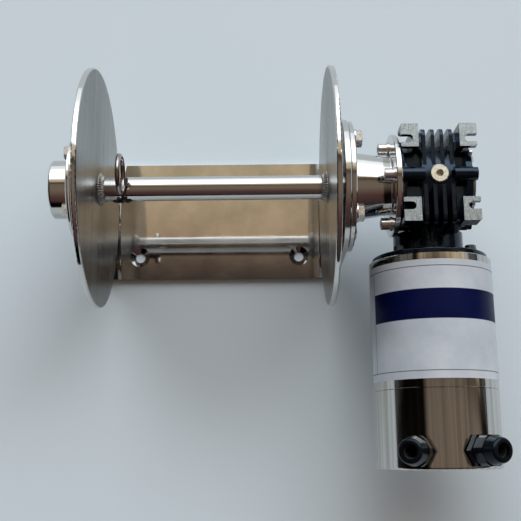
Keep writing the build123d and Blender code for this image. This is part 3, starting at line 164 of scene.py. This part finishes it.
class Surface(Shading):
    """A material with one Principled shader."""

    def __init__(self, name, **sockets):
        self.material = bpy.data.materials.new(name)
        self.material.use_nodes = True
        super().__init__(self.material.node_tree)
        self.shader = self.tree.nodes["Principled BSDF"]
        self.bump_link = None
        for socket, value in sockets.items():
            self.shader.inputs[socket.replace("_", " ")].default_value = value

    def place(self):
        """The row-frame position of the surface point, in metres, riding with its piece."""
        return self.node("TexCoord").outputs["Object"]

    def set(self, socket, value):
        self.feed(value, self.shader.inputs[socket])

    def bump(self, height, distance):
        """Adds a bump under the ones made before."""
        made = self.node("Bump")
        made.inputs["Strength"].default_value = 1.0
        made.inputs["Distance"].default_value = distance
        self.feed(height, made.inputs["Height"])
        if self.bump_link is not None:
            self.feed(self.bump_link, made.inputs["Normal"])
        self.bump_link = made.outputs[0]
        self.feed(self.bump_link, self.shader.inputs["Normal"])


def radius_about(surface, centre, axis):
    """Distance from an axis through centre, and the angle round it."""
    x, y, z = surface.parts(surface.place())
    if axis == "X":
        u = surface.maths("SUBTRACT", y, centre.y)
    else:
        u = surface.maths("SUBTRACT", x, centre.x)
    v = surface.maths("SUBTRACT", z, centre.z)
    squared = surface.maths("ADD", surface.maths("MULTIPLY", u, u), surface.maths("MULTIPLY", v, v))
    return surface.maths("SQRT", squared), surface.maths("ARCTAN2", u, v)


def between(surface, value, low, high, soft):
    """1 where value lies between low and high, with soft edges."""
    rise = surface.spread(value, low - soft, low + soft)
    fall = surface.spread(value, high - soft, high + soft, 1.0, 0.0)
    return surface.maths("MULTIPLY", rise, fall)


def shades(tint, share):
    """A darker share of a colour, and the colour itself."""
    return (*[level * share for level in tint], 1), (*tint, 1)


# ---- metals ----
STEEL_TINT = (0.66, 0.645, 0.62)
# The disc's polished rim starts and is full this far in from its edge.
RIM_START, RIM_FULL = 1.6 * MM, 0.9 * MM
# Heat-burnt weld metal reaches this far along the shaft each way from the rope eye.
BURNT_REACH, BURNT_FADE = 8 * MM, 2 * MM


def polished(name, tint=STEEL_TINT, rough=(0.06, 0.16)):
    """Hand-polished stainless steel: cloudy gloss, faint waves and fine random scratches."""
    metal = Surface(name, Metallic=1.0, Specular_IOR_Level=0.5)
    place = metal.place()
    cloud = metal.noise(place, 55.0, 4.0)
    grit = metal.noise(metal.stretched(place, (1.0, 1.0, 9.0)), 900.0, 2.0)
    metal.set("Base Color", metal.mixed(cloud, *shades(tint, 0.94)))
    metal.set("Roughness", metal.spread(metal.maths("MULTIPLY", cloud, grit), 0.12, 0.42, *rough))
    metal.bump(metal.noise(place, 38.0, 2.0), 0.000012)
    metal.bump(grit, 0.0000012)
    return metal


def turned(name, rough, pitch):
    """Lathe-turned stainless steel with fine concentric marks about the drum axis."""
    metal = Surface(name, Metallic=1.0)
    radius, angle = radius_about(metal, DRUM_AXIS, "X")
    along_axis = metal.parts(metal.place())[0]
    track = metal.joined(metal.maths("MULTIPLY", radius, pitch),
                         metal.maths("MULTIPLY", along_axis, pitch),
                         metal.maths("MULTIPLY", angle, 2.4))
    marks = metal.noise(track, 0.35, 2.0)
    cloud = metal.noise(metal.place(), 24.0, 3.0)
    metal.set("Base Color", metal.mixed(cloud, *shades(STEEL_TINT, 0.93)))
    metal.set("Roughness", metal.spread(metal.blended(0.45, marks, cloud), 0.32, 0.68, *rough))
    metal.bump(cloud, 0.000008)
    metal.bump(marks, 0.0000008)
    return metal


def casing_steel():
    """Motor casing: half-mirror sheet with streaks drawn along it, light and dark round it."""
    metal = Surface("casing_steel", Metallic=1.0)
    place = metal.place()
    angle = radius_about(metal, MOTOR_AXIS, "Y")[1]
    along_axis = metal.parts(place)[1]
    track = metal.joined(metal.maths("MULTIPLY", angle, 15.0), metal.maths("MULTIPLY", along_axis, 3.0), 0.0)
    drawn = metal.spread(metal.noise(track, 1.0, 4.0), 0.36, 0.64)
    cloud = metal.noise(place, 26.0, 3.0)
    metal.set("Base Color", metal.mixed(drawn, (0.47, 0.45, 0.42, 1), (0.70, 0.69, 0.665, 1)))
    metal.set("Roughness", metal.spread(metal.blended(0.5, drawn, cloud), 0.2, 0.8, 0.05, 0.12))
    metal.bump(cloud, 0.000006)
    return metal


def satin_disc():
    """Drum disc: satin faces with soft grinding streaks, and a polished rim."""
    metal = Surface("disc_steel", Metallic=1.0, Anisotropic=0.55)
    place = metal.place()
    streak = metal.noise(metal.stretched(place, (1.0, 7.0, 120.0)), 1.0, 3.0)
    fine = metal.noise(metal.stretched(place, (1.0, 30.0, 1300.0)), 1.0, 2.0)
    cloud = metal.noise(place, 14.0, 3.0)
    sheen = metal.spread(metal.blended(0.25, metal.blended(0.6, cloud, streak), fine), 0.38, 0.62)
    face_tint = metal.mixed(sheen, (0.150, 0.155, 0.152, 1), (0.37, 0.375, 0.365, 1))
    radius = radius_about(metal, DRUM_AXIS, "X")[0]
    rim = metal.spread(radius, DISC_R - RIM_START, DISC_R - RIM_FULL)
    face = metal.spread(metal.blended(0.5, cloud, streak), 0.3, 0.7, 0.24, 0.36)
    metal.set("Base Color", metal.mixed(rim, face_tint, (0.66, 0.65, 0.63, 1)))
    metal.set("Roughness", metal.blended(rim, face, 0.06))
    metal.set("Tangent", metal.node("Tangent", direction_type="RADIAL", axis="X").outputs[0])
    metal.bump(streak, 0.0000006)
    return metal


def plate_steel():
    """Deck plate and cheeks: half-mirror sheet with a slight roll and handling marks."""
    metal = Surface("plate_steel", Metallic=1.0)
    place = metal.place()
    grain = metal.noise(metal.stretched(place, (60.0, 2200.0, 60.0)), 1.0, 3.0)
    cloud = metal.noise(place, 30.0, 4.0)
    metal.set("Base Color", metal.mixed(metal.spread(cloud, 0.35, 0.65),
                                        (0.48, 0.463, 0.44, 1), (0.62, 0.60, 0.57, 1)))
    metal.set("Roughness", metal.spread(metal.blended(0.5, grain, cloud), 0.35, 0.65, 0.025, 0.085))
    metal.bump(metal.noise(metal.stretched(place, (0.4, 1.0, 1.0)), 17.0, 2.0), 0.000045)
    metal.bump(grain, 0.0000006)
    return metal


def fastener_steel():
    """Bright bolts and washers: stamped faces and small dents, with painted shade darkening the dents' low
    spots.
    """
    metal = Surface("fastener_steel", Metallic=1.0)
    place = metal.place()
    ding_and_low_spot_shade = metal.noise(place, 420.0, 4.0)
    # Painted shade: the colour darkens where this noise is low, the same low spots that its bump sinks.
    metal.set("Base Color", metal.mixed(ding_and_low_spot_shade, (0.50, 0.49, 0.47, 1), (0.72, 0.71, 0.69, 1)))
    metal.set("Roughness", metal.spread(ding_and_low_spot_shade, 0.3, 0.7, 0.16, 0.34))
    metal.bump(ding_and_low_spot_shade, 0.00002)
    return metal


def weld_metal():
    """Weld bead: rough crests, brown and blue heat tint in patches, and painted shade, near black, in the
    bead's low spots.
    """
    metal = Surface("weld_metal", Metallic=1.0)
    place = metal.place()
    lump = metal.noise(place, 700.0, 4.0)
    patch = metal.noise(place, 160.0, 2.0)
    tint = metal.mixed(patch, (0.22, 0.19, 0.17, 1), (0.56, 0.53, 0.49, 1))
    x = metal.parts(place)[0]
    burnt = between(metal, x, EYE.x - BURNT_REACH, EYE.x + BURNT_REACH, BURNT_FADE)
    tint = metal.mixed(burnt, tint, (0.085, 0.07, 0.065, 1))
    # Painted shade: near-black colour where the lump noise is low, the low spots that its bump sinks.
    low_spot_shade = metal.spread(lump, 0.35, 0.6, 0.5, 0.0)
    metal.set("Base Color", metal.mixed(low_spot_shade, tint, (0.07, 0.06, 0.06, 1)))
    metal.set("Roughness", metal.spread(lump, 0.3, 0.7, 0.22, 0.45))
    metal.bump(lump, 0.00025)
    return metal


def plain_metal(name, tint, rough, scale=300.0):
    """Inner and small metal pieces: machined surface with fine variation."""
    metal = Surface(name, Metallic=1.0)
    grain = metal.noise(metal.place(), scale, 3.0)
    metal.set("Base Color", metal.mixed(grain, *shades(tint, 0.8)))
    metal.set("Roughness", metal.spread(grain, 0.3, 0.7, rough, rough + 0.14))
    metal.bump(grain, 0.00001)
    return metal


# ---- paint, film, nylon, rubber ----
# The gearbox's machined pilot rings on both sides: depth and radius, and half the paint's edge.
PILOT_DEPTH, PILOT_R, PAINT_EDGE = 3.5 * MM, 28.0 * MM, 0.1 * MM
# The label's print, as shares of its length from the motor's front end, and angles round the motor.
BAND = (0.250, 0.505)
FIRST_LINE = (0.052, 0.060)
LAST_LINE = (0.930, 0.938)
SIDE_LINE = (math.radians(-73.2), math.radians(-72.4))
BAND_END = (math.radians(-72.6), math.radians(-72.2))


def casting_paint():
    """Gloss black paint over a die casting; the feet's faces and the side pilots are machined bare."""
    paint = Surface("casting_paint", Specular_IOR_Level=0.5, Specular_Tint=(0.50, 0.72, 1.0, 1))
    place = paint.place()
    x, _, z = paint.parts(place)
    orange_peel = paint.noise(place, 900.0, 2.0)
    lumps = paint.noise(place, 160.0, 3.0)
    radius = radius_about(paint, DRUM_AXIS, "X")[0]
    feet = paint.spread(z, FEET_TOP - 0.25 * MM, FEET_TOP - 0.12 * MM)
    left = LEFT_PILOT_END + PILOT_DEPTH
    right = RIGHT_PILOT_END - PILOT_DEPTH
    left_pilot = paint.spread(x, left - PAINT_EDGE, left + PAINT_EDGE, 1.0, 0.0)
    right_pilot = paint.spread(x, right - PAINT_EDGE, right + PAINT_EDGE)
    pilots = paint.maths("MULTIPLY", paint.maths("MAXIMUM", left_pilot, right_pilot),
                         paint.spread(radius, PILOT_R - PAINT_EDGE, PILOT_R + PAINT_EDGE, 1.0, 0.0))
    bare = paint.maths("MAXIMUM", feet, pilots)
    mill = paint.noise(paint.stretched(place, (1500.0, 90.0, 300.0)), 1.0, 3.0)
    pit = paint.noise(place, 620.0, 3.0)
    alloy = paint.mixed(paint.spread(paint.blended(0.5, mill, pit), 0.38, 0.62),
                        (0.20, 0.22, 0.23, 1), (0.46, 0.49, 0.49, 1))
    black = paint.mixed(lumps, (0.0012, 0.002, 0.0045, 1), (0.003, 0.0045, 0.009, 1))
    paint.set("Base Color", paint.mixed(bare, black, alloy))
    paint.set("Metallic", bare)
    paint.set("Roughness", paint.blended(bare, paint.spread(lumps, 0.35, 0.65, 0.09, 0.2),
                                         paint.spread(mill, 0.3, 0.7, 0.34, 0.5)))
    paint.bump(lumps, 0.00012)
    paint.bump(orange_peel, 0.000012)
    return paint


def label_print():
    """White film with a navy band and thin grey border lines, slightly creased over the casing."""
    film = Surface("label_print", Specular_IOR_Level=0.09)
    y = film.parts(film.place())[1]
    down = film.maths("DIVIDE", film.maths("SUBTRACT", LABEL_FRONT, y), LABEL_SPAN)
    angle = radius_about(film, MOTOR_AXIS, "Y")[1]
    first = between(film, down, *FIRST_LINE, 0.001)
    last = between(film, down, *LAST_LINE, 0.001)
    side = between(film, angle, *SIDE_LINE, 0.002)
    inside = between(film, down, FIRST_LINE[0], LAST_LINE[1], 0.001)
    border = film.maths("MAXIMUM", film.maths("MAXIMUM", first, last), side)
    border = film.maths("MULTIPLY", border, inside)
    band = film.maths("MULTIPLY", between(film, down, *BAND, 0.002), film.spread(angle, *BAND_END))
    grime = film.spread(film.noise(film.place(), 34.0, 4.0), 0.3, 0.7)
    white = film.mixed(grime, (0.57, 0.61, 0.68, 1), (0.74, 0.77, 0.82, 1))
    navy = film.mixed(grime, (0.001, 0.003, 0.040, 1), (0.002, 0.006, 0.062, 1))
    printed = film.mixed(border, white, (0.16, 0.17, 0.20, 1))
    film.set("Base Color", film.mixed(band, printed, navy))
    film.set("Roughness", film.spread(grime, 0.3, 0.7, 0.30, 0.42))
    film.bump(film.noise(film.place(), 26.0, 2.0), 0.0002)
    film.bump(film.noise(film.place(), 2200.0, 2.0), 0.000004)
    return film


def nylon():
    """Moulded black nylon with a fine sparked texture."""
    plastic = Surface("nylon_black", Specular_IOR_Level=0.26, Specular_Tint=(0.6, 0.8, 1.0, 1))
    place = plastic.place()
    grain = plastic.noise(place, 2600.0, 2.0)
    cloud = plastic.noise(place, 140.0, 3.0)
    plastic.set("Base Color", plastic.mixed(cloud, (0.0025, 0.0030, 0.0045, 1), (0.006, 0.007, 0.010, 1)))
    plastic.set("Roughness", plastic.spread(cloud, 0.3, 0.7, 0.14, 0.26))
    plastic.bump(grain, 0.000012)
    plastic.bump(cloud, 0.00004)
    return plastic


def matte(name, dark, light, rough, scale):
    """Rubber, ferrite, carbon: a matt mottled surface."""
    skin = Surface(name)
    grain = skin.noise(skin.place(), scale, 4.0)
    skin.set("Base Color", skin.mixed(grain, (*dark, 1), (*light, 1)))
    skin.set("Roughness", skin.spread(grain, 0.3, 0.7, rough - 0.08, rough + 0.08))
    skin.bump(grain, 0.00002)
    return skin


MATERIALS = {
    "satin_stainless": plate_steel(),
    "polished_stainless": polished("polished_steel"),
    "fastener_steel": fastener_steel(),
    "weld_metal": weld_metal(),
    "black_casting": casting_paint(),
    "zinc_plug": plain_metal("zinc_plate", (0.80, 0.77, 0.66), 0.24, 500.0),
    "printed_label": label_print(),
    "black_nylon": nylon(),
    "rubber": matte("seal_rubber", (0.012, 0.012, 0.012), (0.03, 0.03, 0.03), 0.6, 600.0),
    "bearing_steel": plain_metal("ground_steel", (0.62, 0.62, 0.63), 0.16),
    "tin_bronze": plain_metal("tin_bronze", (0.72, 0.50, 0.26), 0.28),
    "machine_steel": plain_metal("machine_steel", (0.45, 0.45, 0.46), 0.30),
    "cast_alloy": plain_metal("cast_alloy", (0.68, 0.69, 0.70), 0.42, 500.0),
    "ferrite": matte("ferrite", (0.05, 0.05, 0.05), (0.11, 0.11, 0.11), 0.62, 500.0),
    "lamination": plain_metal("lamination", (0.38, 0.38, 0.39), 0.36),
    "copper": plain_metal("copper", (0.80, 0.40, 0.22), 0.30),
    "carbon": matte("carbon", (0.02, 0.02, 0.02), (0.05, 0.05, 0.05), 0.5, 700.0),
}
DISC_STEEL = satin_disc()
HOUSING_STEEL = turned("housing_steel", (0.06, 0.15), 3000.0)
CASING_STEEL = casing_steel()
SPECIAL = {
    "drum_disc_left": DISC_STEEL,
    "drum_disc_right": DISC_STEEL,
    "drum_shaft": turned("shaft_steel", (0.05, 0.13), 2600.0),
    # Painted shade: the rope eye gets a darker brown copy of the polished steel.
    "rope_eye": polished("eye_steel_painted_shade", (0.40, 0.345, 0.325), (0.05, 0.12)),
    "left_bearing_housing": HOUSING_STEEL,
    "bell_housing": HOUSING_STEEL,
    "motor_shell": CASING_STEEL,
    "motor_rear_cover": CASING_STEEL,
    "motor_flange_bolts": plain_metal("dark_bolt_steel", (0.11, 0.12, 0.135), 0.30),
}


def dress_cad():
    """Gives every CAD node its material."""
    for part in frame["record"]["subparts"]:
        piece = nodes[part["node"]]
        surface = SPECIAL.get(part["node"]) or MATERIALS[part["material_slot"]]
        if not piece.data.materials:
            piece.data.materials.append(surface.material)
        for index in range(len(piece.data.materials)):
            piece.data.materials[index] = surface.material


dress_cad()


# ---- weld beads ----
BEAD_GRID = 0.45 * MM
# Heights over the CAD bead's surface, in millimetres: ripple crests, lumps, and how far both are sunk.
CREST, LUMP, SINK = 0.55, 0.45, 0.25
LUMPS_PER_METRE = 190
RIPPLE_PITCH = 2.2 * MM
RIPPLE_WAVES = 19


def beaded(node, name, flow, drops=()):
    """Stands for a CAD weld: its solid and any drops of metal, meshed finely, with ripples and lumps."""
    piece = bpy.data.objects.new(name, nodes[node].data.copy())
    scene.collection.objects.link(piece)
    solid = bmesh.new()
    solid.from_mesh(piece.data)
    for centre, radius in drops:
        bmesh.ops.create_icosphere(solid, subdivisions=3, radius=radius, matrix=Matrix.Translation(centre))
    solid.to_mesh(piece.data)
    solid.free()
    grid = piece.modifiers.new("grid", "REMESH")
    grid.mode = "VOXEL"
    grid.voxel_size = BEAD_GRID
    settled = bpy.context.evaluated_depsgraph_get()
    fine = bpy.data.meshes.new_from_object(piece.evaluated_get(settled))
    piece.modifiers.clear()
    piece.data = fine
    normals = [vertex.normal.copy() for vertex in fine.vertices]
    for vertex, normal in zip(fine.vertices, normals):
        lump = noise.noise(vertex.co * LUMPS_PER_METRE)
        ripple = abs(math.sin(flow(vertex.co) + 0.9 * lump))
        vertex.co += normal * MM * (CREST * ripple + LUMP * lump - SINK)
    fine.polygons.foreach_set("use_smooth", [True] * len(fine.polygons))
    fine.materials.clear()
    fine.materials.append(MATERIALS["weld_metal"].material)
    body = next(b for b, listed in frame["record"]["behaviour"]["bodies"].items() if node in listed)
    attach(piece, body)
    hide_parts(node)


def round_shaft(at):
    """Ripple phase round the drum axis."""
    return RIPPLE_WAVES * math.atan2(at.y - DRUM_AXIS.y, at.z - DRUM_AXIS.z)


def across_plate(at):
    """Ripple phase along a cheek's foot."""
    return at.y * math.pi / RIPPLE_PITCH


def on_shaft(shift, degrees):
    """Point on the shaft: millimetres along it from the rope eye, degrees from its top towards -Y."""
    turn = math.radians(degrees)
    y = DRUM_AXIS.y - CORE_R * math.sin(turn)
    z = DRUM_AXIS.z + CORE_R * math.cos(turn)
    return Vector((EYE.x + shift * MM, y, z))


# Weld metal that ran down from the rope eye's foot: place along and round the shaft, and radius in mm.
EYE_DROPS = [
    (-0.5, 42, 2.2), (0.4, 60, 2.5), (-1.2, 78, 2.4), (1.8, 84, 1.9), (4.2, 80, 1.5), (5.6, 86, 1.1),
    (-3.6, 86, 2.1), (-6.0, 88, 1.8), (-8.2, 92, 1.5), (-4.4, 66, 1.4), (2.6, 100, 1.6), (-2.0, 102, 1.7),
]
drops = [(on_shaft(shift, degrees), radius * MM) for shift, degrees, radius in EYE_DROPS]
beaded("drum_welds", "drum_weld_beads", round_shaft, drops)
beaded("frame_welds", "frame_weld_beads", across_plate)


# ---- floor, light and camera ----
def add_floor():
    """Pale sheet under the object."""
    half = 40.0
    corners = [(-half, -half, 0), (half, -half, 0), (half, half, 0), (-half, half, 0)]
    mesh = bpy.data.meshes.new("floor")
    mesh.from_pydata(corners, [], [(0, 1, 2, 3)])
    floor = bpy.data.objects.new("floor", mesh)
    scene.collection.objects.link(floor)
    floor.location = (0, 0, cad_box[0][2] - 0.0002)
    paper = Surface("floor_paper")
    grain = paper.noise(paper.place(), 3.0, 3.0)
    paper.set("Base Color", paper.mixed(grain, (0.765, 0.85, 0.905, 1), (0.795, 0.87, 0.925, 1)))
    paper.set("Roughness", 0.75)
    mesh.materials.append(paper.material)


# Angles from straight overhead towards +Y, with the light seen there.
SKY = [
    (-110, (0.05, 0.045, 0.045)), (-88, (0.035, 0.028, 0.027)), (-48, (0.10, 0.050, 0.046)),
    (-16, (0.21, 0.165, 0.125)), (4, (0.20, 0.158, 0.122)), (9, (0.075, 0.057, 0.050)),
    (12.4, (0.065, 0.050, 0.046)), (13.8, (0.55, 0.41, 0.275)), (18, (0.66, 0.55, 0.37)),
    (24, (0.70, 0.60, 0.46)), (29, (2.75, 2.95, 3.1)), (60, (2.95, 3.15, 3.3)),
    (72, (1.35, 1.44, 1.52)), (92, (1.15, 1.23, 1.3)), (98, (0.5, 0.54, 0.58)),
]
# The same turned towards +X: how much of the ceiling's light is left at each angle.
SIDE = [(-100, 0.03), (-33, 0.02), (-25, 1.0), (71, 1.0), (76, 0.05), (93, 0.05), (104, 0.8)]
# Angles where the window starts and is full, and how far it reaches towards +X and -X.
WINDOW_FROM, WINDOW_FULL = math.radians(22), math.radians(29)
WINDOW_SIDE, WINDOW_END = 0.58, 0.76


def sky_ramp(sky, sine, cosine, stops):
    """Colour by the angle from overhead that two direction parts make, and that angle in radians."""
    angle = sky.maths("ARCTAN2", sine, cosine)
    ramp = sky.node("ValToRGB")
    elements = ramp.color_ramp.elements
    elements.remove(elements[-1])
    for index, (degrees, colour) in enumerate(stops):
        spot = 0.5 + degrees / 360
        stop = elements[0] if index == 0 else elements.new(spot)
        stop.position = spot
        stop.color = (*colour, 1)
    sky.feed(sky.spread(angle, -math.pi, math.pi), ramp.inputs[0])
    return ramp.outputs[0], angle


def add_sky():
    """Soft studio light: a broad white window on the +Y side under a warm ceiling."""
    world = bpy.data.worlds.new("studio")
    scene.world = world
    world.use_nodes = True
    sky = Shading(world.node_tree)
    x, y, z = sky.parts(sky.node("TexCoord").outputs["Generated"])
    window, towards = sky_ramp(sky, y, z, SKY)
    ceiling = sky_ramp(sky, x, z, [(angle, (left, left, left)) for angle, left in SIDE])[0]
    in_window = sky.spread(towards, WINDOW_FROM, WINDOW_FULL)
    lean = sky.spread(x, -0.8, 0.8, 0.75, 1.2)
    ends = sky.spread(sky.maths("ABSOLUTE", x), WINDOW_SIDE, WINDOW_END, 1.0, 0.03)
    strength = sky.blended(in_window, ceiling, sky.maths("MULTIPLY", lean, ends))
    background = sky.tree.nodes["Background"]
    sky.feed(window, background.inputs["Color"])
    sky.feed(strength, background.inputs["Strength"])


# The camera stands above the motor side and looks down at the drum.
CAMERA_AT = Vector((0.0387, -0.221, 0.825))
TILT, ROLL, LENS, SENSOR = math.radians(12.5), math.radians(0.6), 61.4, 36.0


def add_camera():
    """A long lens over the drum, tilted a little towards the motor side and rolled slightly."""
    data = bpy.data.cameras.new("camera")
    data.lens = LENS
    data.sensor_width = SENSOR
    camera = bpy.data.objects.new("camera", data)
    scene.collection.objects.link(camera)
    level_right = Vector((1, 0, 0))
    level_up = Vector((0, math.cos(TILT), math.sin(TILT)))
    back = Vector((0, -math.sin(TILT), math.cos(TILT)))
    right = level_right * math.cos(ROLL) - level_up * math.sin(ROLL)
    up = level_up * math.cos(ROLL) + level_right * math.sin(ROLL)
    camera.matrix_world = Matrix.Translation(CAMERA_AT) @ Matrix((right, up, back)).transposed().to_4x4()
    scene.camera = camera


add_floor()
add_sky()
add_camera()
scene.view_settings.view_transform = "Standard"
